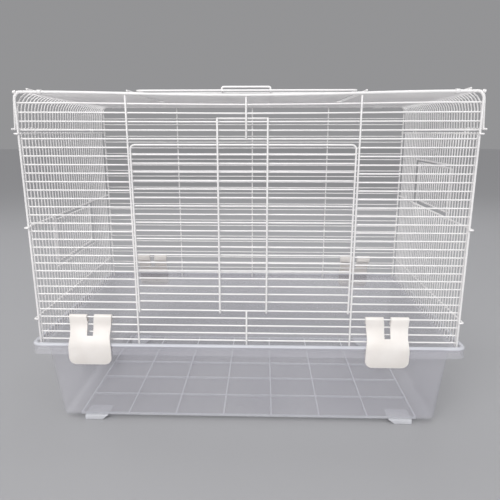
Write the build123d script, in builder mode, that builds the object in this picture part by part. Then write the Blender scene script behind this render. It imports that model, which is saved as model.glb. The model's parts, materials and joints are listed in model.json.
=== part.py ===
"""A wire small-animal cage: a hinged-panel wire top that drops into a deep translucent tray.

Origin: centre of the footprint, on the ground. +X is the width, the front faces -Y, +Z is up.
All sizes are in millimetres.
"""
from build123d import *
import os
from math import atan2, degrees, hypot, radians, tan

os.makedirs("parts", exist_ok=True)

# driving dimensions of the wire top
cage_width = 600.0       # between the centres of the two side grilles
cage_depth = 346.0       # between the centres of the front and rear bars
top_z = 484.0            # centre of the roof's front and rear frame wires
bar_pitch = 11.3         # between horizontal bars
bar_count = 30
side_gaps = 35           # spaces between upright side wires, front to rear
side_pitch = cage_depth / side_gaps

# wire sizes (radii)
bar_r = 1.1              # horizontal bars
thin_r = 1.0             # side uprights, roof hoops
stay_r = 1.25            # rails, uprights and door frames
frame_r = 1.5            # outline wire of each panel
fit = 0.15               # running gap of a hook round its pivot wire

# where the panels stand
side_x = cage_width / 2
face_y = cage_depth / 2
leg_x = side_x - 2.5                       # outline wire of the front and rear panels
leg_y = face_y + bar_r + frame_r
stay_y = face_y + bar_r + stay_r
rail_x = side_x + thin_r + stay_r          # side panel rails, outside the uprights
wire_foot_z = 135.0                        # lower ends of all upright wires
corner_r = 8.0
head_drop = 0.5                            # front and rear panels hang this far below the roof
head_z = top_z - head_drop
roof_edge_y = face_y - 0.6                 # the roof's end hoops, just clear of the panels' outline wires
bar_half = leg_x + 0.8                     # bars stop clear of the roof's end hoops
rear_stay_x = 150.0

# roof
hoop_x = side_x + 3.0                      # flange of the roof, just outside the side grilles
hoop_z = top_z + 0.5
hoop_corner_r = 20.0
flange_z = 440.0
flange_rail_x = hoop_x + thin_r + stay_r
roof_leg_x = flange_rail_x - frame_r - stay_r
flare = 3.3                                # the flange's legs lean out by this much on the way down
flare_slope = flare / (top_z - flange_z)
long_z = hoop_z + thin_r + stay_r
long_outer_x = 281.0
long_inner_x = 152.0
long_overhang = 1.0                        # of the long wires past the end hoops
rail_overhang = 3.5                        # of the flange rails past the end hoops
door_rows = 19                             # roof hoops cut by the roof door
pivot_row = door_rows + 1

# side panels
rail_zs = (434.0, 308.5, 176.7)
mid_rail_z = rail_zs[1]
upright_top_z = 436.0
hook_clearance = 0.35                      # between a rail's hooked end and the leg it clips round
rail_end_y = leg_y + frame_r + stay_r + hook_clearance
rail_hook_r = 2.6
side_cut_rows = range(10, 26)              # uprights cut by a side door
side_door_half = 79.0
side_door_height = 74.0
border_gap = 79.5                          # from the middle rail to the door's border rail
border_half = 86.0
hanger_y = 12 * side_pitch
hanger_width = 4.0

# folded strips that join the roof to the front and rear panels
strip_wall = 0.8
front_ring_xs = (-265.0, 265.0)
rear_ring_xs = (-271.0, 245.0)
front_ring_width = 5.0
rear_ring_width = 17.0

# front door
door_centre_x = -4.6
door_half = 147.0
door_top_z = 419.5
door_hinge_row = 26
first_cut_row = 6
opening_xs = (-154.7, 146.4)               # uprights on either side of the door
latch_half = 32.5
latch_row = 3
door_bar_lift = 2.0
door_corner_r = 6.0
tip_rise = 0.5                             # of a hook's tip past the middle of its pivot wire
bend_relief = 0.05                         # keeps two bends of one hook from meeting end to end

# roof door
lid_half = 140.0
lid_front_y = -face_y - 1.5
lid_latch_half = 31.0
lid_latch_z = 491.5

# tray
foot_height = 8.0
tray_wall = 2.2
rim_half_x = 310.0
rim_half_y = 185.5
rim_top_z = 142.0
rim_low_z = 126.0
ledge_top_z = 134.7
wall_top_x = 296.0
wall_top_y = 167.0
wall_taper = 4.6                           # degrees
rim_round = 3.0
lip_wall = 2.0
lip_corner = 8.0
rib_root = 0.5                             # depth of the ribs' tops inside the floor

# clips
clip_width = 61.0
clip_row = 27
clip_wall = 2.2
clip_gap = 0.4
front_clip_xs = (-223.0, 198.0)
rear_clip_xs = (-213.0, 216.0)


def bar_z(row):
    return top_z - bar_pitch * row


def row_y(row):
    return -face_y + side_pitch * row


def bent_wire(points, corners, radius):
    """One round wire along straight runs joined by arcs, as a free-standing part."""
    with BuildPart() as wire:
        with BuildLine() as path:
            FilletPolyline(*points, radius=corners)
        with BuildSketch(Plane(origin=path.line @ 0, z_dir=path.line % 0)):
            Circle(radius)
        sweep(path=path.line)
    return wire.part


def save(builder, name):
    builder.part.label = name
    export_step(builder.part, f"parts/{name}.step")


# ---------------------------------------------------------------- tray
floor_z = foot_height + tray_wall
taper_run = (ledge_top_z - foot_height) * tan(radians(wall_taper))
base_x = wall_top_x - taper_run
base_y = wall_top_y - taper_run
base_corner = 10.0
wall_corner = 12.0                         # at the top of the wall
base_edge = 9.0
hollow_run = (rim_top_z - floor_z) * tan(radians(wall_taper))

with BuildPart() as tray_hollow:
    with BuildSketch(Plane.XY.offset(floor_z)):
        RectangleRounded(2 * (base_x - tray_wall), 2 * (base_y - tray_wall), base_corner - tray_wall)
    with BuildSketch(Plane.XY.offset(rim_top_z)):
        RectangleRounded(2 * (base_x - tray_wall + hollow_run), 2 * (base_y - tray_wall + hollow_run),
                         wall_corner - tray_wall)
    loft()
    fillet(tray_hollow.faces().sort_by(Axis.Z)[0].edges(), base_edge - tray_wall)

rib_x = 260.0
rib_y = 145.0
rib_columns = 7
rib_rows = 5
rib_width = 2.4
rib_depth = 3.0
lip_inner_x = side_x + 3.5
lip_inner_y = leg_y + frame_r + 1.9
lip_outer_x = lip_inner_x + lip_wall
lip_outer_y = lip_inner_y + lip_wall
rim_corner = lip_corner + rim_half_x - lip_inner_x
foot_out_x = 252.5
foot_flat_x = 226.0
foot_in_x = 216.0
foot_y = 138.0
foot_length = 30.0

with BuildPart() as tray:
    with BuildSketch(Plane.XY.offset(foot_height)):
        RectangleRounded(2 * base_x, 2 * base_y, base_corner)
    with BuildSketch(Plane.XY.offset(ledge_top_z)):
        RectangleRounded(2 * wall_top_x, 2 * wall_top_y, wall_corner)
    loft()
    fillet(tray.faces().sort_by(Axis.Z)[0].edges(), base_edge)
    # the ledge that carries the wires, then the rim that stands round it
    with BuildSketch(Plane.XY.offset(ledge_top_z - tray_wall)):
        RectangleRounded(2 * lip_outer_x, 2 * lip_outer_y, lip_corner + lip_wall)
    extrude(amount=tray_wall)
    with BuildSketch(Plane.XY.offset(rim_low_z)):
        RectangleRounded(2 * rim_half_x, 2 * rim_half_y, rim_corner)
        offset(amount=-lip_wall, mode=Mode.SUBTRACT)
    extrude(amount=rim_top_z - rim_low_z)
    with BuildSketch(Plane.XY.offset(rim_top_z - tray_wall)):
        RectangleRounded(2 * rim_half_x, 2 * rim_half_y, rim_corner)
        RectangleRounded(2 * lip_inner_x, 2 * lip_inner_y, lip_corner, mode=Mode.SUBTRACT)
    extrude(amount=tray_wall)
    with BuildSketch(Plane.XY.offset(ledge_top_z - tray_wall)):
        RectangleRounded(2 * lip_outer_x, 2 * lip_outer_y, lip_corner + lip_wall)
        RectangleRounded(2 * lip_inner_x, 2 * lip_inner_y, lip_corner, mode=Mode.SUBTRACT)
    extrude(amount=rim_top_z - ledge_top_z + tray_wall)
    fillet(tray.faces().sort_by(Axis.Z)[-1].outer_wire().edges(), rim_round)
    # stiffening grid and feet under the floor
    with BuildSketch(Plane.XY.offset(foot_height - rib_depth)):
        with GridLocations(0, 2 * rib_y / rib_rows, 1, rib_rows + 1):
            Rectangle(2 * rib_x, rib_width)
        with GridLocations(2 * rib_x / rib_columns, 0, rib_columns + 1, 1):
            Rectangle(rib_width, 2 * rib_y)
    extrude(amount=rib_depth + rib_root)
    for y in (-foot_y, foot_y):
        with BuildSketch(Plane.XZ.offset(-y - foot_length / 2)):
            with BuildLine():
                Polyline((foot_out_x, 0), (foot_out_x, floor_z), (foot_in_x, floor_z),
                         (foot_in_x, foot_height), (foot_flat_x, 0), close=True)
            make_face()
            mirror(about=Plane.YZ)
        extrude(amount=foot_length)
    add(tray_hollow.part, mode=Mode.SUBTRACT)
save(tray, "tray")


# ---------------------------------------------------------------- roof panel
def end_hoop(y):
    """Thick outline hoop of the roof at one end, legs down to the flange rails."""
    low = flange_z - stay_r
    low_x = roof_leg_x + flare_slope * stay_r
    top_x = roof_leg_x - flare
    return bent_wire([(-low_x, y, low), (-top_x, y, top_z), (top_x, y, top_z), (low_x, y, low)],
                     corner_r, frame_r)


with BuildPart() as roof_front_wire:
    add(end_hoop(-roof_edge_y))
save(roof_front_wire, "roof_front_wire")

with BuildPart() as roof_rear_wire:
    add(end_hoop(roof_edge_y))
save(roof_rear_wire, "roof_rear_wire")

hoop_low = flange_z - thin_r
hoop_low_x = hoop_x + flare_slope * thin_r
hoop_top_x = hoop_x - flare
whole_hoop = bent_wire(
    [(-hoop_low_x, 0, hoop_low), (-hoop_top_x, 0, hoop_z), (hoop_top_x, 0, hoop_z), (hoop_low_x, 0, hoop_low)],
    hoop_corner_r, thin_r)
left_hoop = bent_wire(
    [(-hoop_low_x, 0, hoop_low), (-hoop_top_x, 0, hoop_z), (stay_r - long_inner_x, 0, hoop_z)],
    hoop_corner_r, thin_r)

with BuildPart() as roof_cross_wires:
    with Locations(*[(0, row_y(row), 0) for row in range(pivot_row, side_gaps)]):
        add(whole_hoop)
save(roof_cross_wires, "roof_cross_wires")

with BuildPart() as roof_cut_wires:
    with Locations(*[(0, row_y(row), 0) for row in range(1, pivot_row)]):
        add(left_hoop)
    mirror(about=Plane.YZ)
save(roof_cut_wires, "roof_cut_wires")

long_end_y = face_y + frame_r + long_overhang
with BuildPart() as roof_long_wires:
    with BuildSketch(Plane.XZ.offset(-long_end_y)):
        with Locations(*[(x, long_z) for x in (-long_outer_x, -long_inner_x, long_inner_x, long_outer_x)]):
            Circle(stay_r)
    extrude(amount=2 * long_end_y)
    with BuildSketch(Plane.XZ.offset(-long_end_y)):
        with Locations((0, long_z)):
            Circle(stay_r)
    extrude(amount=long_end_y - row_y(pivot_row) + thin_r)
save(roof_long_wires, "roof_long_wires")

with BuildPart() as roof_side_rails:
    with BuildSketch(Plane.XZ):
        with Locations((-flange_rail_x, flange_z), (flange_rail_x, flange_z)):
            Circle(stay_r)
    extrude(amount=face_y + rail_overhang, both=True)
save(roof_side_rails, "roof_side_rails")


# ---------------------------------------------------------------- front and rear panels
def outline_wire(y):
    """Outline wire of the front or rear panel: two legs joined under the roof's edge."""
    return bent_wire(
        [(-leg_x, y, wire_foot_z), (-leg_x, y, head_z), (leg_x, y, head_z), (leg_x, y, wire_foot_z)],
        corner_r, frame_r)


upright_head_z = head_z - frame_r
full_rows = [*range(1, first_cut_row), *range(door_hinge_row, bar_count + 1)]
cut_rows = range(first_cut_row, door_hinge_row)

with BuildPart() as front_frame_wire:
    add(outline_wire(-leg_y))
save(front_frame_wire, "front_frame_wire")

with BuildPart() as rear_frame_wire:
    add(outline_wire(leg_y))
save(rear_frame_wire, "rear_frame_wire")

with BuildPart() as front_bars:
    with BuildSketch(Plane.YZ):
        with Locations(*[(-face_y, bar_z(row)) for row in full_rows]):
            Circle(bar_r)
    extrude(amount=bar_half, both=True)
save(front_bars, "front_bars")

with BuildPart() as front_short_bars:
    with BuildSketch(Plane.YZ.offset(-bar_half)):
        with Locations(*[(-face_y, bar_z(row)) for row in cut_rows]):
            Circle(bar_r)
    extrude(amount=opening_xs[0] + stay_r + bar_half)
    with BuildSketch(Plane.YZ.offset(opening_xs[1] - stay_r)):
        with Locations(*[(-face_y, bar_z(row)) for row in cut_rows]):
            Circle(bar_r)
    extrude(amount=bar_half - opening_xs[1] + stay_r)
save(front_short_bars, "front_short_bars")

with BuildPart() as rear_bars:
    with BuildSketch(Plane.YZ):
        with Locations(*[(face_y, bar_z(row)) for row in range(1, bar_count + 1)]):
            Circle(bar_r)
    extrude(amount=bar_half, both=True)
save(rear_bars, "rear_bars")

with BuildPart() as front_uprights:
    with BuildSketch(Plane.XY.offset(wire_foot_z)):
        with Locations(*[(x, -stay_y) for x in opening_xs]):
            Circle(stay_r)
    extrude(amount=upright_head_z - wire_foot_z)
save(front_uprights, "front_uprights")

strut_low_z = bar_z(first_cut_row - 1) - bar_r
strut_head_z = bar_z(door_hinge_row) + bar_r
with BuildPart() as front_struts:
    with BuildSketch(Plane.XY.offset(strut_low_z)):
        with Locations((0, -stay_y)):
            Circle(stay_r)
    extrude(amount=upright_head_z - strut_low_z)
    with BuildSketch(Plane.XY.offset(wire_foot_z)):
        with Locations((0, -stay_y)):
            Circle(stay_r)
    extrude(amount=strut_head_z - wire_foot_z)
save(front_struts, "front_struts")

with BuildPart() as rear_uprights:
    with BuildSketch(Plane.XY.offset(wire_foot_z)):
        with Locations((-rear_stay_x, stay_y), (0, stay_y), (rear_stay_x, stay_y)):
            Circle(stay_r)
    extrude(amount=upright_head_z - wire_foot_z)
save(rear_uprights, "rear_uprights")

# folded strips that hinge the roof to the front and rear panels
ring_span = hypot(leg_y - roof_edge_y, head_drop)
ring_tilt = degrees(atan2(head_drop, leg_y - roof_edge_y))
ring_z = (top_z + head_z) / 2
ring_y = (leg_y + roof_edge_y) / 2
ring_inner = 2 * (frame_r + fit)

with BuildPart() as front_hinge_rings:
    for x in front_ring_xs:
        with BuildSketch(Plane.YZ.offset(x - front_ring_width / 2)):
            with Locations((-ring_y, ring_z)):
                SlotCenterToCenter(ring_span, ring_inner + 2 * strip_wall, rotation=ring_tilt)
                SlotCenterToCenter(ring_span, ring_inner, rotation=ring_tilt, mode=Mode.SUBTRACT)
        extrude(amount=front_ring_width)
save(front_hinge_rings, "front_hinge_rings")

with BuildPart() as rear_hinge_rings:
    for x in rear_ring_xs:
        with BuildSketch(Plane.YZ.offset(x - rear_ring_width / 2)):
            with Locations((ring_y, ring_z)):
                SlotCenterToCenter(ring_span, ring_inner + 2 * strip_wall, rotation=-ring_tilt)
                SlotCenterToCenter(ring_span, ring_inner, rotation=-ring_tilt, mode=Mode.SUBTRACT)
        extrude(amount=rear_ring_width)
save(rear_hinge_rings, "rear_hinge_rings")


# ---------------------------------------------------------------- side panels
def side_rail(side, z):
    """A rail along the side grille, its ends hooked round the front and rear legs."""
    x = side * rail_x
    tip_x = side * (leg_x - frame_r)
    return bent_wire(
        [(tip_x, -rail_end_y, z), (x, -rail_end_y, z), (x, rail_end_y, z), (tip_x, rail_end_y, z)],
        rail_hook_r, stay_r)


def side_panel(side, up):
    """Rails and uprights of one side, with a door opening above (up=1) or below the middle rail."""
    border_z = mid_rail_z + up * border_gap
    with BuildPart() as rails:
        for z in rail_zs:
            add(side_rail(side, z))
        with BuildSketch(Plane.XZ.offset(-border_half)) as border:
            with Locations((side * rail_x, border_z)):
                Circle(stay_r)
        extrude(border.sketch, amount=2 * border_half)
    low_cut = min(mid_rail_z, border_z) + stay_r
    high_cut = max(mid_rail_z, border_z) - stay_r
    cut_points = [(side * side_x, row_y(row)) for row in side_cut_rows]
    whole_points = [(side * side_x, row_y(row)) for row in range(1, side_gaps) if row not in side_cut_rows]
    with BuildPart() as uprights:
        with BuildSketch(Plane.XY.offset(wire_foot_z)) as whole:
            with Locations(*whole_points):
                Circle(thin_r)
        extrude(whole.sketch, amount=upright_top_z - wire_foot_z)
        with BuildSketch(Plane.XY.offset(wire_foot_z)) as lower:
            with Locations(*cut_points):
                Circle(thin_r)
        extrude(lower.sketch, amount=low_cut - wire_foot_z)
        with BuildSketch(Plane.XY.offset(high_cut)) as upper:
            with Locations(*cut_points):
                Circle(thin_r)
        extrude(upper.sketch, amount=upright_top_z - high_cut)
    return rails, uprights


def hanger_rings(side):
    """Two folded strips that hang a side panel from the roof's flange rail."""
    rise = flange_z - rail_zs[0]
    reach = flange_rail_x - rail_x
    tilt = side * degrees(atan2(rise, reach))
    span = hypot(rise, reach)
    centre = (side * (flange_rail_x + rail_x) / 2, (flange_z + rail_zs[0]) / 2)
    inner = 2 * (stay_r + fit)
    with BuildPart() as rings:
        for y in (-hanger_y, hanger_y):
            with BuildSketch(Plane.XZ.offset(-y - hanger_width / 2)) as ring:
                with Locations(centre):
                    SlotCenterToCenter(span, inner + 2 * strip_wall, rotation=tilt)
                    SlotCenterToCenter(span, inner, rotation=tilt, mode=Mode.SUBTRACT)
            extrude(ring.sketch, amount=hanger_width)
    return rings


left_rails, left_uprights = side_panel(-1, -1)
save(left_rails, "left_rails")
save(left_uprights, "left_uprights")
save(hanger_rings(-1), "left_hanger_rings")

right_rails, right_uprights = side_panel(1, 1)
save(right_rails, "right_rails")
save(right_uprights, "right_uprights")
save(hanger_rings(1), "right_hanger_rings")


# ---------------------------------------------------------------- front door
pivot_z = bar_z(door_hinge_row)
hook_r = bar_r + fit + stay_r               # centre line of a hook round the hinge bar
door_y = -face_y - hook_r
hook_back_y = -face_y + hook_r
hook_low_z = pivot_z - hook_r
hook_tip_z = pivot_z + tip_rise
hook_bend = hook_r - bend_relief


def hooked_loop(half, front_y, head, head_corner):
    """A wire up one side, across and down the other, both ends curled round the hinge bar."""
    left = [(-half, hook_back_y, hook_tip_z), (-half, hook_back_y, hook_low_z), (-half, front_y, hook_low_z)]
    right = [(-x, y, z) for x, y, z in reversed(left)]
    points = [(door_centre_x + x, y, z) for x, y, z in left + head + right]
    bends = [hook_bend] * 2 + [head_corner] * len(head) + [hook_bend] * 2
    return bent_wire(points, bends, stay_r)


with BuildPart() as front_door_frame:
    add(hooked_loop(door_half, door_y, [(-door_half, door_y, door_top_z), (door_half, door_y, door_top_z)],
                    door_corner_r))
save(front_door_frame, "front_door_frame")

door_bar_y = door_y + stay_r + bar_r
with BuildPart() as front_door_bars:
    with BuildSketch(Plane.YZ.offset(door_centre_x)):
        with Locations(*[(door_bar_y, bar_z(row) + door_bar_lift)
                         for row in range(first_cut_row + 1, door_hinge_row)]):
            Circle(bar_r)
    extrude(amount=door_half + stay_r, both=True)
save(front_door_bars, "front_door_bars")

# spring loop that closes over the top of the panel's third bar
latch_y = door_y - 2 * stay_r                 # in front of the door's frame
latch_z = bar_z(latch_row) + hook_r + fit
latch_back_y = -face_y + 3.5
latch_bend = 2.4
with BuildPart() as front_door_latch:
    add(hooked_loop(latch_half, latch_y,
                    [(-latch_half, latch_y, latch_z), (-latch_half, latch_back_y, latch_z),
                     (latch_half, latch_back_y, latch_z), (latch_half, latch_y, latch_z)],
                    latch_bend))
save(front_door_latch, "front_door_latch")


# ---------------------------------------------------------------- roof door
lid_pivot_y = row_y(pivot_row)
lid_hook_r = thin_r + fit + stay_r
lid_z = hoop_z + lid_hook_r
lid_bend = lid_hook_r - bend_relief


def lid_loop(half, head, head_corner):
    """A wire forward from one rear hook, across and back, both ends curled round the pivot hoop."""
    back_y = lid_pivot_y + lid_hook_r
    low_z = hoop_z - lid_hook_r
    left = [(-half, lid_pivot_y - tip_rise, low_z), (-half, back_y, low_z), (-half, back_y, lid_z)]
    right = [(-x, y, z) for x, y, z in reversed(left)]
    bends = [lid_bend] * 2 + [head_corner] * len(head) + [lid_bend] * 2
    return bent_wire(left + head + right, bends, stay_r)


with BuildPart() as roof_door_frame:
    add(lid_loop(lid_half, [(-lid_half, lid_front_y, lid_z), (lid_half, lid_front_y, lid_z)], door_corner_r))
save(roof_door_frame, "roof_door_frame")

with BuildPart() as roof_door_bars:
    with BuildSketch(Plane.YZ):
        with Locations(*[(row_y(row), lid_z - stay_r - thin_r) for row in range(1, pivot_row)]):
            Circle(thin_r)
    extrude(amount=lid_half + stay_r, both=True)
save(roof_door_bars, "roof_door_bars")

lid_latch_y = lid_front_y + 4.0
lid_latch_bend = 2.2
with BuildPart() as roof_door_latch:
    add(lid_loop(lid_latch_half,
                 [(-lid_latch_half, lid_latch_y, lid_z), (-lid_latch_half, lid_latch_y, lid_latch_z),
                  (lid_latch_half, lid_latch_y, lid_latch_z), (lid_latch_half, lid_latch_y, lid_z)],
                 lid_latch_bend))
save(roof_door_latch, "roof_door_latch")


# ---------------------------------------------------------------- side doors
flap_hook_r = 2 * stay_r + fit
flap_x = rail_x + flap_hook_r
flap_inner_x = rail_x - flap_hook_r
flap_bend = flap_hook_r - bend_relief
flap_tie = 7.5                               # cross wire of the flap, below or above its hinge rail


def side_door(side, up):
    """A small flap hooked on the middle rail: its frame with a cross wire, and its bars."""
    far_z = mid_rail_z + up * side_door_height
    tie_z = mid_rail_z + up * flap_tie
    turn_z = mid_rail_z - up * flap_hook_r
    tip_z = mid_rail_z + up * tip_rise
    inner_x = side * flap_inner_x
    outer_x = side * flap_x
    near = [(inner_x, -side_door_half, tip_z), (inner_x, -side_door_half, turn_z),
            (outer_x, -side_door_half, turn_z), (outer_x, -side_door_half, far_z)]
    far = [(x, -y, z) for x, y, z in reversed(near)]
    bends = [flap_bend] * 2 + [corner_r] * 2 + [flap_bend] * 2
    with BuildPart() as frame:
        add(bent_wire(near + far, bends, stay_r))
        with BuildSketch(Plane.XZ.offset(stay_r - side_door_half)) as tie:
            with Locations((outer_x, tie_z)):
                Circle(stay_r)
        extrude(tie.sketch, amount=2 * (side_door_half - stay_r))
    bar_x = side * (flap_x - stay_r - thin_r)
    ends = sorted((tie_z - up * stay_r, far_z + up * stay_r))
    with BuildPart() as bars:
        with BuildSketch(Plane.XY.offset(ends[0])) as rods:
            with Locations(*[(bar_x, row_y(row)) for row in side_cut_rows]):
                Circle(thin_r)
        extrude(rods.sketch, amount=ends[1] - ends[0])
    return frame, bars


left_door_frame, left_door_bars = side_door(-1, -1)
save(left_door_frame, "left_door_frame")
save(left_door_bars, "left_door_bars")

right_door_frame, right_door_bars = side_door(1, 1)
save(right_door_frame, "right_door_frame")
save(right_door_bars, "right_door_bars")


# ---------------------------------------------------------------- clips
clip_z = bar_z(clip_row)
clip_in = bar_r + clip_gap
clip_out = clip_in + clip_wall
clip_head_z = clip_z + clip_out
clip_lip_z = clip_z - 8.2                    # tip of the hook behind the bar
clip_foot_z = 112.0
belly_gap = 0.7                              # between the clip and the tray's rim
rim_reach = rim_half_y - face_y
belly_in = rim_reach + belly_gap
belly_out = belly_in + clip_wall
step_high = 152.0
step_low = 143.5
step_in_high = step_high - clip_wall / 2
step_in_low = step_low - clip_wall / 2
hook_shelf_z = 121.5
hook_reach = 8.5
slot_width = 8.5
slot_foot_z = 153.5
waist = 2.0
waist_half = 8.0                             # half the height over which the waist narrows
clip_foot_corner = 10.0
clip_head_corner = 2.0


def clip(x, side):
    """A moulded clip: hooked over a bar at the top, round the rim and under it at the bottom."""
    profile = [
        (-clip_out, clip_lip_z), (-clip_out, clip_head_z), (clip_out, clip_head_z),
        (clip_out, step_high), (belly_out, step_low), (belly_out, clip_foot_z),
        (belly_in, clip_foot_z), (belly_in, hook_shelf_z - clip_wall),
        (hook_reach, hook_shelf_z - clip_wall), (hook_reach, hook_shelf_z),
        (belly_in, hook_shelf_z), (belly_in, step_in_low),
        (clip_in, step_in_high), (clip_in, clip_z + clip_in), (-clip_in, clip_z + clip_in),
        (-clip_in, clip_lip_z),
    ]
    half = clip_width / 2
    neck_z = (clip_z + clip_foot_z) / 2
    with BuildPart() as body:
        with BuildSketch(Plane.YZ.offset(x - half)) as section:
            with BuildLine():
                Polyline(*[(side * (face_y + out), z) for out, z in profile], close=True)
            make_face()
        extrude(section.sketch, amount=clip_width)
        with BuildSketch(Plane.XZ) as outline:
            with BuildLine():
                Polyline((x - half, clip_head_z), (x - half + waist, neck_z + waist_half),
                         (x - half, neck_z - waist_half), (x - half, clip_foot_z), (x + half, clip_foot_z),
                         (x + half, neck_z - waist_half), (x + half - waist, neck_z + waist_half),
                         (x + half, clip_head_z), close=True)
            make_face()
            fillet(outline.vertices().group_by(Axis.Y)[0], clip_foot_corner)
            fillet(outline.vertices().group_by(Axis.Y)[-1], clip_head_corner)
            with Locations((x, (slot_foot_z + clip_head_z) / 2)):
                Rectangle(slot_width, clip_head_z - slot_foot_z, mode=Mode.SUBTRACT)
        extrude(outline.sketch, amount=face_y + belly_out, both=True, mode=Mode.INTERSECT)
    return body


save(clip(front_clip_xs[0], -1), "front_left_clip")
save(clip(front_clip_xs[1], -1), "front_right_clip")
save(clip(rear_clip_xs[0], 1), "rear_left_clip")
save(clip(rear_clip_xs[1], 1), "rear_right_clip")
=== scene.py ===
import json
import math
import random

import bpy
from mathutils import Matrix, Vector

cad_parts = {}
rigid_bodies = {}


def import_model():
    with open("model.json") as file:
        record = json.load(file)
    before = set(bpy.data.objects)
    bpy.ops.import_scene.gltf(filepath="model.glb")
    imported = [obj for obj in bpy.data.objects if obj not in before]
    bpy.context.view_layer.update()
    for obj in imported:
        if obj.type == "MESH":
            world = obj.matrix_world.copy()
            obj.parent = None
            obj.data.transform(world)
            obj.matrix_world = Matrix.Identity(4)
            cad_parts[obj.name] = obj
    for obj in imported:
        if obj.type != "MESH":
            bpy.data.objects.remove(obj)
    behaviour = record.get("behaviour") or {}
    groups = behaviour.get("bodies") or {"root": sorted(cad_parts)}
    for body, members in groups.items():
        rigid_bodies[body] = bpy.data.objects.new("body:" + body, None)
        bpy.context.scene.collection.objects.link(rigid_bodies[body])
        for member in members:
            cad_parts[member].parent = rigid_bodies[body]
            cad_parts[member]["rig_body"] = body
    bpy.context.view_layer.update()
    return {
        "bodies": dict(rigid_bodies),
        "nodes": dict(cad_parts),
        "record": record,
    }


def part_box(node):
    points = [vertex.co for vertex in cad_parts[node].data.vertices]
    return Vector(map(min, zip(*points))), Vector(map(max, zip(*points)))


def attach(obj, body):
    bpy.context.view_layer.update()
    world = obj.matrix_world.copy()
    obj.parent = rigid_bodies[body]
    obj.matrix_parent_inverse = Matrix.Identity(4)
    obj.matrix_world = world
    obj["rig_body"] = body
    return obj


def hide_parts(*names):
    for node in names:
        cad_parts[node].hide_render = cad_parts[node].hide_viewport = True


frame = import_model()
bodyOf = {node: body for body, nodes in frame["record"]["behaviour"]["bodies"].items() for node in nodes}
print("frame loaded,", len(frame["nodes"]), "nodes")


# small helpers

mergeReach = 1e-6
pickReach = 0.0001
quarterTurn = math.pi / 2
alongX = Matrix.Identity(4)
xToY = Matrix.Rotation(quarterTurn, 4, "Z")
xToZ = Matrix.Rotation(-quarterTurn, 4, "Y")
halfTurn = Matrix.Rotation(math.pi, 4, "Z")


def clearSelection():
    for item in bpy.context.selected_objects:
        item.select_set(False)


def makeActive(*items):
    clearSelection()
    for item in items:
        item.select_set(True)
    bpy.context.view_layer.objects.active = items[0]


def unpick(item):
    bpy.ops.object.mode_set(mode="OBJECT")
    for part in (item.data.vertices, item.data.edges, item.data.polygons):
        for one in part:
            one.select = False


def pickPoints(item, test):  # ends in edit mode, with just those points selected
    unpick(item)
    for point in item.data.vertices:
        point.select = test(point.co)
    bpy.ops.object.mode_set(mode="EDIT")
    bpy.ops.mesh.select_mode(type="VERT")


def editMesh(item, mode="VERT"):
    makeActive(item)
    bpy.ops.object.mode_set(mode="EDIT")
    bpy.ops.mesh.select_mode(type=mode)


def pickFaces(item, test):  # ends in edit mode, with just those faces selected
    unpick(item)
    for face in item.data.polygons:
        face.select = test(face)
    bpy.ops.object.mode_set(mode="EDIT")
    bpy.ops.mesh.select_mode(type="FACE")


def settle(item):  # place and size go into the mesh
    makeActive(item)
    bpy.ops.object.transform_apply(location=True, rotation=True, scale=True)


def applyModifier(item, kind, **values):
    makeActive(item)
    modifier = item.modifiers.new(kind.title(), kind)
    for key, value in values.items():
        setattr(modifier, key, value)
    bpy.ops.object.modifier_apply(modifier=modifier.name)


def roundEdges(item, width):  # only the sharp ones
    applyModifier(item, "BEVEL", width=width, segments=2, limit_method="ANGLE", angle_limit=math.radians(50))


def smooth(item, angle):
    makeActive(item)
    bpy.ops.object.shade_smooth_by_angle(angle=math.radians(angle))


def joined(name, items):
    makeActive(*items)
    if len(items) > 1:
        bpy.ops.object.join()
    whole = bpy.context.view_layer.objects.active
    whole.name = name
    whole.data.name = name
    return whole


def copyOf(item, offset=(0, 0, 0), turn=None):
    twin = item.copy()
    twin.data = item.data.copy()
    if turn:
        twin.data.transform(turn)
    twin.data.transform(Matrix.Translation(offset))
    bpy.context.scene.collection.objects.link(twin)
    return twin


def discard(*items):
    for item in items:
        mesh = item.data
        bpy.data.objects.remove(item)
        bpy.data.meshes.remove(mesh)


def finishPiece(item, nodes, material):
    item.data.materials.clear()
    item.data.materials.append(material)
    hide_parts(*nodes)
    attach(item, bodyOf[nodes[0]])
    return item


def solidBoxes(node):  # one (low, high) pair for every solid of a CAD node
    twin = copyOf(frame["nodes"][node])
    twin.parent = None
    editMesh(twin)
    bpy.ops.mesh.select_all(action="SELECT")
    bpy.ops.mesh.remove_doubles(threshold=mergeReach)
    bpy.ops.mesh.separate(type="LOOSE")
    bpy.ops.object.mode_set(mode="OBJECT")
    parts = list(bpy.context.selected_objects)
    pairs = []
    for part in parts:
        corners = [Vector(c) for c in part.bound_box]
        low = Vector(min(c[i] for c in corners) for i in range(3))
        high = Vector(max(c[i] for c in corners) for i in range(3))
        pairs.append((low, high))
    discard(*parts)
    return sorted(pairs, key=lambda pair: tuple(round(v, 5) for v in (*pair[0], *pair[1])))


# shared shader effects

def newGroup(name, inputs, outputs):
    group = bpy.data.node_groups.new(name, "ShaderNodeTree")
    for label, kind, value in inputs:
        socket = group.interface.new_socket(label, in_out="INPUT", socket_type=kind)
        if value is not None:
            socket.default_value = value
    for label, kind in outputs:
        group.interface.new_socket(label, in_out="OUTPUT", socket_type=kind)
    return group, group.nodes.new("NodeGroupInput"), group.nodes.new("NodeGroupOutput")


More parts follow.
